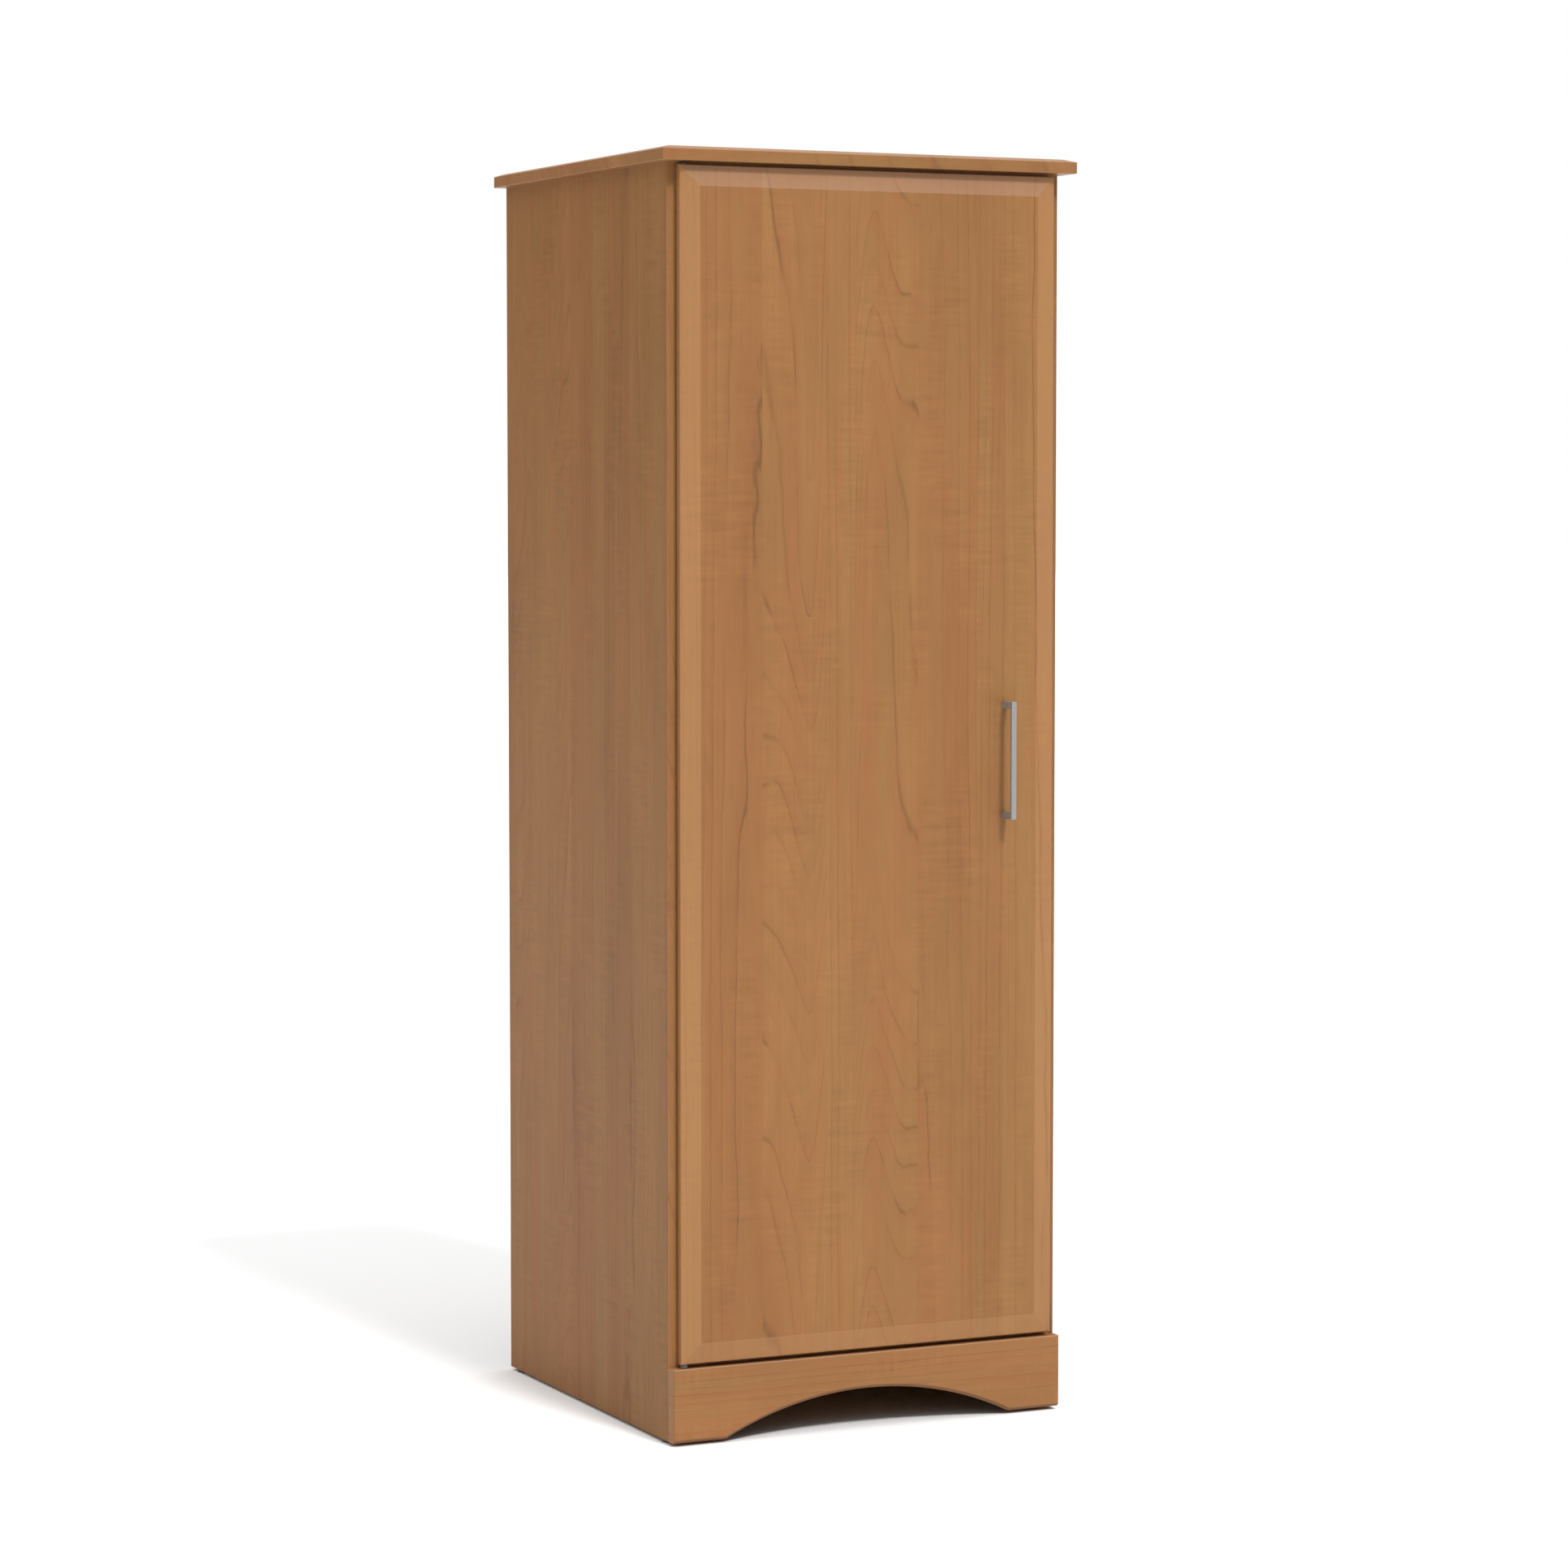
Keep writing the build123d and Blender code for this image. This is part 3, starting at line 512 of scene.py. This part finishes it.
fibre_depth = 0.00015
hardboard, tree, shader, spot = new_material("printed hardboard", Specular_IOR_Level=0.15)
printed = put_cherry(tree, spot, rightward, up, (0.05, 0.6, 0.0), Contrast=0.9)
bare = put_group(tree, make_pressed_fibre(), Place=spot.outputs["Object"])
inside = (split(tree, spot.outputs["Normal"])[1] * -1.0).spread(0.6, 0.9)
looks_of_both = two_sided(tree, inside, printed, bare, first_height=0.2, second_height=1.0)
wear(tree, shader, *looks_of_both, fibre_depth)
dress(hardboard, "back_panel")

# ---- Corner blocks and dowels
# Two planed softwood blocks, screwed into the arched rail and the sides from behind, hold the base square.
# The dowels are beech, which is closer grained and flecked.


def make_plain_wood():
    """Bare wood, its grain along Y of Place: rings across it that drift with slow noise, and fine flecks."""
    early_pine, late_pine = (0.70, 0.48, 0.25), (0.48, 0.26, 0.10)
    tree, given = new_group(
        "plain wood", Early_Wood=early_pine, Late_Wood=late_pine, Ring_Gap=0.004, Flecks=0.2
    )
    place = given["Place"]
    across, _, deep = split(tree, place)
    drift_rings, late_power = 3.0, 3.0
    drift = stretched_noise(tree, place, 0.018, 0.150, 15.0, deep=0.018) - 0.5
    outward = weighted(0.0, (across, 0.8), (deep, 0.6))
    part = (outward / Field(tree, given["Ring Gap"]) + drift * drift_rings).maths("FRACT")
    late = part**late_power
    fleck = stretched_noise(tree, place, 0.0005, 0.0030, 16.0, detail=1.0, deep=0.0005).spread(0.56, 0.68)
    fleck = fleck * Field(tree, given["Flecks"])
    lateness = weighted(0.0, (late, 0.75), (fleck, 1.0))
    colour = blend(tree, lateness, given["Early Wood"], given["Late Wood"])
    planed = 0.66
    rough = weighted(planed, (fleck, 0.2), (late, -0.1))
    return give(tree, colour, rough, weighted(0.0, (late, 0.5), (fleck, -1.0)))


plain_wood = make_plain_wood()


def bare_wood(name, across, along, **looks):
    """A planed or turned piece of bare wood."""
    grain_depth = 0.00008
    material, tree, shader, spot = new_material(name, Specular_IOR_Level=0.3)
    grain = put_group(tree, plain_wood, Place=turned_place(tree, spot, across, along), **looks)
    wear(tree, shader, grain["Color"], grain["Roughness"], grain["Height"], grain_depth)
    return material


dress(bare_wood("planed pine", rightward, up), "rail_corner_blocks")
early_beech, late_beech = (0.66, 0.46, 0.28), (0.46, 0.27, 0.14)
beech_looks = {"Early_Wood": early_beech, "Late_Wood": late_beech, "Ring_Gap": 0.0018, "Flecks": 0.5}
dress(bare_wood("turned beech", backward, rightward, **beech_looks), "joint_dowels")

# ---- Cams, cam bolts and shelf pins
# Zinc-plated steel and die-cast fittings that knock down with a screwdriver: a bolt in each side panel is
# drawn tight by a cam in the shelf. The plating is bright, with a faint blue and yellow bloom.


def make_zinc_plate():
    """Zinc plate: a bloom of slow noise between a blue and a yellow grey, with small dull spots."""
    tree, given = new_group("zinc plate")
    bloom_size, spot_size = 0.006, 0.0009
    bloom = even_noise(tree, given["Place"], bloom_size, 17.0)
    dull = even_noise(tree, given["Place"], spot_size, 18.0, detail=3.0)
    blue_grey, yellow_grey = (0.56, 0.60, 0.66), (0.68, 0.66, 0.58)
    colour = blend(tree, bloom.spread(0.35, 0.65), blue_grey, yellow_grey)
    bright = 0.16
    return give(tree, colour, weighted(bright, (dull, 0.22), (bloom, 0.10)), dull)


zinc_depth = 0.00002
zinc_steel, tree, shader, spot = new_material("zinc steel", Metallic=1.0)
plate = put_group(tree, make_zinc_plate(), Place=spot.outputs["Object"])
wear(tree, shader, plate["Color"], plate["Roughness"], plate["Height"], zinc_depth)
dress(zinc_steel, "cam_locks", "cam_bolts", "shelf_pins", "glide_nails", "catch_strikes")

# ---- Screws
# Countersunk chipboard screws with a cross recess, zinc plated: round the back panel, up into the cap,
# through the corner blocks, and in the catches and their strikes.


def grid_mesh(name, points):
    """A closed mesh from rows of points. Each row wraps round, and the end rows close on a pole each."""
    rows, columns = points.shape[:2]
    first, last = points[0].mean(axis=0), points[-1].mean(axis=0)
    vertices = np.concatenate([points.reshape(-1, 3), [first, last]])
    row, column = np.meshgrid(np.arange(rows - 1), np.arange(columns), indexing="ij")
    beside = (column + 1) % columns
    this_row, next_row = row * columns, (row + 1) * columns
    corners = [this_row + column, this_row + beside, next_row + beside, next_row + column]
    quads = np.stack(corners, axis=-1).reshape(-1, 4)
    turn = np.arange(columns)
    ahead = (turn + 1) % columns
    start_fan = np.stack([np.full(columns, rows * columns), ahead, turn], axis=-1)
    foot = (rows - 1) * columns
    end_fan = np.stack([np.full(columns, rows * columns + 1), foot + turn, foot + ahead], axis=-1)
    mesh = bpy.data.meshes.new(name)
    mesh.from_pydata(vertices.tolist(), [], quads.tolist() + start_fan.tolist() + end_fan.tolist())
    return mesh


def solids_of(name):
    """The separate solids of a CAD node, each as an array of its points, in a steady order."""
    same_point = 1e-6
    mesh = bmesh.new()
    mesh.from_mesh(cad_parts[name].data)
    bmesh.ops.remove_doubles(mesh, verts=mesh.verts, dist=same_point)
    unseen = set(mesh.verts)
    solids = []
    while unseen:
        fresh = [unseen.pop()]
        found = list(fresh)
        while fresh:
            linked = {edge.other_vert(vert) for vert in fresh for edge in vert.link_edges}
            fresh = list(linked & unseen)
            unseen -= linked
            found += fresh
        solids.append(np.array([vert.co[:] for vert in found]))
    mesh.free()
    return sorted(solids, key=lambda points: tuple(points.mean(axis=0).round(4)))


def along_axis(points):
    """Where a fastener starts, which way it runs and how long it is. It starts at its broad head."""
    at_the_end = 2e-4
    low, high = points.min(axis=0), points.max(axis=0)
    axis = int(np.argmax(high - low))
    middle = (low + high) / 2
    at_low = np.abs(points[:, axis] - low[axis]) < at_the_end
    at_high = np.abs(points[:, axis] - high[axis]) < at_the_end
    spread_low = np.ptp(points[at_low], axis=0).max()
    spread_high = np.ptp(points[at_high], axis=0).max()
    head_low = spread_low > spread_high
    start = middle.copy()
    start[axis] = low[axis] if head_low else high[axis]
    direction = np.zeros(3)
    direction[axis] = 1.0 if head_low else -1.0
    return start, direction, high[axis] - low[axis], max(spread_low, spread_high) / 2


def screw_points(start, direction, length, head_r, shank_r, flat_head=True):
    """A screw as a surface of turn a and travel t.

    Head: radius grows with t, and the cross recess sinks it where |cos 2a| is large. Shank: radius =
    root + ridge * (1 - |2 * part(t / pitch - a / full turn) - 1|) ** 2, which winds one ridge per pitch.
    """
    columns = 32
    turn = np.arange(columns) * 2 * math.pi / columns

    # the head, from near its middle to its rim, in shares of its radius
    arm_least, arm_more, arm_sharpness = 0.16, 0.46, 5
    recess_depth, recess_slope = 0.45, 1.1
    pan_rise, pan_edge = 0.45, 0.35
    inmost, head_rows = 0.06, 8
    share = np.linspace(inmost, 1.0, head_rows)[:, None]
    arm = arm_least + arm_more * np.abs(np.cos(2 * turn)) ** arm_sharpness
    sink = np.clip(1 - share / arm, 0.0, recess_depth) * recess_slope * head_r
    dome = 0.0 if flat_head else pan_rise * head_r
    head = np.stack([share * head_r + 0 * turn, sink - dome * (1 - share**3) + 0 * turn], axis=-1)
    cone = head_r - shank_r if flat_head else pan_edge * head_r
    neck_r = shank_r if flat_head else head_r
    neck = np.stack([np.full((1, columns), neck_r), np.full((1, columns), cone)], axis=-1)

    # the shank, down to its blunt point, in shares of its radius
    root, ridge, tip_long, blunt = 0.72, 0.28, 2.5, 0.02
    pitch_long, steps_per_pitch = 0.8, 5
    pitch = pitch_long * shank_r
    steps = int((length - cone) / pitch * steps_per_pitch)
    travel = np.linspace(cone, length, steps)[:, None]
    part = np.mod(travel / pitch - turn / (2 * math.pi), 1.0)
    tip = np.clip((length - travel) / (tip_long * shank_r), blunt, 1.0)
    radius = (root + ridge * (1 - np.abs(2 * part - 1)) ** 2) * shank_r * tip
    shank = np.stack([radius, travel + 0 * turn], axis=-1)
    surface = np.concatenate([head, neck, shank])
    side = np.roll(direction, 1)
    other = np.cross(direction, side)
    ring = np.cos(turn)[:, None] * side + np.sin(turn)[:, None] * other
    return start + surface[..., :1] * ring + surface[..., 1:] * direction


def finish_piece(name, points_list, material, body, nodes, smooth_angle=35):
    """One piece of several closed surfaces, which rides on a body and stands for CAD nodes."""
    meshes = [grid_mesh(name, points) for points in points_list]
    whole = bmesh.new()
    for mesh in meshes:
        whole.from_mesh(mesh)
        bpy.data.meshes.remove(mesh)
    bmesh.ops.recalc_face_normals(whole, faces=whole.faces)
    joined = bpy.data.meshes.new(name)
    whole.to_mesh(joined)
    whole.free()
    joined.shade_smooth()
    joined.set_sharp_from_angle(angle=math.radians(smooth_angle))
    joined.materials.append(material)
    piece = bpy.data.objects.new(name, joined)
    bpy.context.scene.collection.objects.link(piece)
    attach(piece, body)
    if nodes:
        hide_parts(*nodes)


def countersunk(node, body, shank_r):
    """Threaded screws in the places of a node's plain ones."""
    places = [along_axis(points) for points in solids_of(node)]
    surfaces = [screw_points(*place, shank_r) for place in places]
    finish_piece(f"{node}_threaded", surfaces, zinc_steel, body, [node])


wood_screw_r = 0.00175
small_screw_r = 0.0014
countersunk("rail_block_screws", "cabinet", wood_screw_r)
countersunk("cap_screws", "cabinet", wood_screw_r)
countersunk("back_panel_screws", "cabinet", small_screw_r)
countersunk("catch_screws", "cabinet", small_screw_r)
countersunk("strike_screws", "door", small_screw_r)

# ---- Floor glides
# Black plastic discs nailed under the ends of the sides, with a finely grained moulded face.


def make_moulded_grain():
    """Moulded plastic: a fine leather-like grain and a slow change of gloss."""
    tree, given = new_group("moulded grain", Colour=(0.02, 0.02, 0.02))
    grain_size, gloss_size = 0.0005, 0.008
    grain = even_noise(tree, given["Place"], grain_size, 19.0)
    gloss = even_noise(tree, given["Place"], gloss_size, 20.0)
    rubbed_tone = (0.30, 0.29, 0.28)
    colour = blend(tree, weighted(0.0, (grain, 0.16), (gloss, 0.12)), given["Colour"], rubbed_tone)
    least_rough = 0.36
    return give(tree, colour, weighted(least_rough, (gloss, 0.16), (grain, 0.1)), grain)


moulded_grain = make_moulded_grain()


def plastic(name, colour):
    """A moulded plastic of one colour."""
    mould_depth = 0.00004
    material, tree, shader, spot = new_material(name)
    mould = put_group(tree, moulded_grain, Place=spot.outputs["Object"], Colour=colour)
    wear(tree, shader, mould["Color"], mould["Roughness"], mould["Height"], mould_depth)
    return material


black_plastic = plastic("black plastic", (0.010, 0.010, 0.010))
dress(black_plastic, "floor_glides")

# ---- Arched base rail
# Foil pressed over a routed board and laid on the front edges of the sides. The grain runs along it, and the
# chamfer of the lower edge and the arch, which face down, are painted darker, as painted shade.

# a dark tone, painted shade on the down-facing chamfer and arch
chamfer_shade_tone = (0.170, 0.078, 0.030)
rail_foil = foil(
    "rail foil", up, rightward, (0.075, 0.45, 0.0), shade=1.07, painted_slope_share=0.6, painted_slope_tone=chamfer_shade_tone
)
dress(rail_foil, "arched_base_rail")

# ---- Cap
# Foil pressed over a board with bevelled upper edges, its grain from side to side. It is screwed down from
# inside, and overhangs the door and both sides.

# across the grain, turned so that the print also changes down the front edge
round_the_edge = Vector((0.06, 0.8, -0.6))
# the bevels lean back, so they carry the foil's painted sky reflection
dress(foil("cap foil", round_the_edge, rightward, (0.3, 0.9, 0.0), Line_Strength=0.55), "cap")

# ---- Door
# Foil pressed over the front and edges of a routed board: a flat field inside a shallow bevel on all four
# sides. The grain is upright and runs on across the bevels.

# across the grain, turned so that the print also changes round the door's sides
round_the_side = Vector((0.9, -0.42, 0.0))
# the side and bottom bevels are painted paler than the field, a painted highlight, and the top bevel, which
# leans back, is painted pinkish grey, a painted sky reflection
door_foil = foil("door foil", round_the_side, up, (-0.127, 0.0, 0.0), painted_slope_share=0.34)
dress(door_foil, "door_panel")

# ---- Door pull
# A flat bar on two square posts, die cast and plated in satin nickel. It is brushed along its length, so the
# reflection of a light is drawn out sideways.

nickel, tree, shader, spot = new_material("satin nickel", Metallic=0.62, Anisotropic=0.35)
brush = stretched_noise(tree, spot.outputs["Object"], 0.00025, 0.00025, 21.0, detail=2.0, deep=0.030)
cloud = stretched_noise(tree, spot.outputs["Object"], 0.010, 0.010, 22.0, detail=2.0, deep=0.020)
grey_nickel, bright_nickel = (0.300, 0.303, 0.306), (0.365, 0.368, 0.371)
satin, brush_depth = 0.34, 0.00001
colour = blend(tree, weighted(0.0, (brush, 0.6), (cloud, 0.4)), grey_nickel, bright_nickel)
wear(tree, shader, colour, weighted(satin, (brush, 0.12), (cloud, 0.08)), brush, brush_depth)
dress(nickel, "pull_bar", "pull_posts")

# The pull is fixed by two machine screws from the back of the door, with pan heads and a cross recess.
pull_screw_r = 0.002
places = [along_axis(points) for points in solids_of("pull_screws")]
surfaces = [screw_points(*place, pull_screw_r, flat_head=False) for place in places]
finish_piece("pull_screws_panhead", surfaces, zinc_steel, "door", ["pull_screws"])

# ---- Pivots
# Blackened steel pins stand in the rail and hang from the cap. Dark nylon bushes in the ends of the door
# turn on them, and a nylon washer carries the door's weight.

dark_nylon = plastic("dark nylon", (0.030, 0.018, 0.010))
dress(dark_nylon, "pivot_bushes", "thrust_washer")

blackened_steel, tree, shader, spot = new_material("blackened steel", Metallic=0.8)
oxide = stretched_noise(tree, spot.outputs["Object"], 0.0015, 0.0015, 26.0, detail=3.0, deep=0.004)
deep_black, worn_black = (0.012, 0.012, 0.013), (0.045, 0.043, 0.042)
oiled, oxide_depth = 0.35, 0.00002
wear(tree, shader, blend(tree, oxide, deep_black, worn_black), oxide * 0.25 + oiled, oxide, oxide_depth)
dress(blackened_steel, "pivot_pins")

# ---- Catches
# White plastic catches on the right side panel. In each a black magnet lies between two steel pole plates,
# which stand a little proud of the face and meet the steel strike on the door.

white_plastic = plastic("white plastic", (0.72, 0.71, 0.68))
dress(white_plastic, "door_catches")


def rounded_bar(middle, half_w, half_h, front, back, corner):
    """A bar along Y: a rounded rectangle as outline, drawn in by (1 - cos b) * corner at its front edge.

    The outline is (half sides - corner) * (sign of cos a, sign of sin a) + corner * (cos a, sin a).
    """
    columns, bend_rows = 24, 4
    turn = (np.arange(columns) + 0.5) * 2 * math.pi / columns
    outline = np.stack([np.cos(turn), np.sin(turn)], axis=-1)
    square = np.sign(outline) * (np.array([half_w, half_h]) - corner)
    bend = np.linspace(0, math.pi / 2, bend_rows)
    inward = np.append(corner * (1 - np.sin(bend)), 0.0)[:, None, None]
    travel = np.append(front + corner * (1 - np.cos(bend)) * np.sign(back - front), back)[:, None]
    flat = square + outline * (corner - inward)
    return np.stack([middle[0] + flat[..., 0], travel + 0 * turn, middle[1] + flat[..., 1]], axis=-1)


plate_proud = 0.0004
plate_deep = 0.006
plate_half_w, plate_half_h = 0.0006, 0.010
plate_from_middle = 0.0026
magnet_half_w, magnet_half_h = 0.0019, 0.0095
round_corner = 0.0003
plates, magnets = [], []
for points in solids_of("door_catches"):
    low, high = points.min(axis=0), points.max(axis=0)
    middle = ((low + high) / 2)[[0, 2]]
    face_y, back_y = low[1], low[1] + plate_deep
    for side in (-1, 1):
        beside = middle + (side * plate_from_middle, 0.0)
        plate = rounded_bar(beside, plate_half_w, plate_half_h, face_y - plate_proud, back_y, round_corner)
        plates.append(plate)
    front_y = face_y - plate_proud / 2
    magnets.append(rounded_bar(middle, magnet_half_w, magnet_half_h, front_y, back_y, round_corner))
finish_piece("catch_pole_plates", plates, zinc_steel, "cabinet", [])
finish_piece("catch_magnets", magnets, black_plastic, "cabinet", [])

# ---- Bumpers
# Two clear rubber domes, stuck by their flat backs to the front edge of the right side panel, which quieten
# the door as it shuts.

clear_rubber, tree, shader, spot = new_material("clear rubber", IOR=1.45)
haze_size, glossy = 0.002, 0.12
haze = even_noise(tree, spot.outputs["Object"], haze_size, 23.0)
milky, milkier = (0.62, 0.61, 0.57), (0.80, 0.79, 0.76)
tree.links.new(blend(tree, haze, milky, milkier), shader.inputs["Base Color"])
tree.links.new((haze * 0.2 + glossy).socket, shader.inputs["Roughness"])
dress(clear_rubber, "door_bumpers")


def dome_points(foot, radius, rise):
    """A dome towards -Y: radius * cos b from its axis and rise * (rim + bulge * sin b) from its foot."""
    columns, rows = 32, 9
    rim, bulge = 0.3, 0.7
    last_bend = 0.48 * math.pi
    turn = np.arange(columns) * 2 * math.pi / columns
    bend = np.linspace(0, last_bend, rows)[:, None]
    reach = np.concatenate([[[radius]], radius * np.cos(bend)])
    travel = np.concatenate([[[0.0]], rise * (rim + bulge * np.sin(bend))])
    ring = [foot[0] + reach * np.cos(turn), foot[1] - travel + 0 * turn, foot[2] + reach * np.sin(turn)]
    return np.stack(ring, axis=-1)


domes = []
for points in solids_of("door_bumpers"):
    low, high = points.min(axis=0), points.max(axis=0)
    foot = ((low[0] + high[0]) / 2, high[1], (low[2] + high[2]) / 2)
    domes.append(dome_points(foot, (high[0] - low[0]) / 2, high[1] - low[1]))
finish_piece(
    "door_bumpers_domed", domes, clear_rubber, "cabinet", ["door_bumpers"], smooth_angle=50
)

# ---- Floor, light and camera
# A plain pale floor that runs on without an edge, a soft light all round that is brighter overhead, a key
# light high in front and a little to the right, and a weak broad fill from the left.

reach = 60.0
floor_corners = [(-reach, -reach, 0), (reach, -reach, 0), (reach, reach, 0), (-reach, reach, 0)]
floor_mesh = bpy.data.meshes.new("floor")
floor_mesh.from_pydata(floor_corners, [], [(0, 1, 2, 3)])
floor = bpy.data.objects.new("floor", floor_mesh)
bpy.context.scene.collection.objects.link(floor)
floor_paint, tree, shader, spot = new_material("floor paint", Roughness=0.9, Specular_IOR_Level=0.0)
shader.inputs["Base Color"].default_value = (0.80, 0.80, 0.80, 1.0)
floor_mesh.materials.append(floor_paint)
floor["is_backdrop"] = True

world = bpy.data.worlds.new("studio")
bpy.context.scene.world = world
world.use_nodes = True
tree = world.node_tree
tree.nodes.clear()
overhead_glow, least_glow = 2.27, 0.035
surround = tree.nodes.new("ShaderNodeTexCoord")
height = split(tree, surround.outputs["Generated"])[2]
glow = height.maths("MAXIMUM", 0.0) ** 2.0 * overhead_glow + least_glow
path = tree.nodes.new("ShaderNodeLightPath")
seen = Field(tree, path.outputs["Is Camera Ray"])
strength = glow * (seen * -1.0 + 1.0) + seen
studio = tree.nodes.new("ShaderNodeBackground")
studio.inputs["Color"].default_value = (1.0, 1.0, 1.0, 1.0)
tree.links.new(strength.socket, studio.inputs["Strength"])
out = tree.nodes.new("ShaderNodeOutputWorld")
tree.links.new(studio.outputs[0], out.inputs[0])

# each lamp: its strength, then in degrees how broad it is, how far to the right of front and how high
lamps = (("key", 2.32, 9, 8, 50), ("fill", 0.42, 60, -80, 25))
for name, power, softness, from_front, high_up in lamps:
    lamp = bpy.data.lights.new(name, "SUN")
    lamp.energy = power
    lamp.angle = math.radians(softness)
    light = bpy.data.objects.new(name, lamp)
    light.rotation_euler = (math.radians(90 - high_up), 0, math.radians(from_front))
    bpy.context.scene.collection.objects.link(light)

camera = bpy.data.cameras.new("camera")
camera.lens = 100.81
camera.sensor_width = 36.0
camera.clip_end = 200.0
camera_stand = bpy.data.objects.new("camera", camera)
pitched_down, turned_right = 3.781, 25.242
camera_stand.location = (-2.7838, -5.9117, 1.3463)
camera_stand.rotation_euler = (math.radians(90 - pitched_down), 0, math.radians(-turned_right))
bpy.context.scene.collection.objects.link(camera_stand)
bpy.context.scene.camera = camera_stand
bpy.context.scene.view_settings.view_transform = "Standard"

low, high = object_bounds()
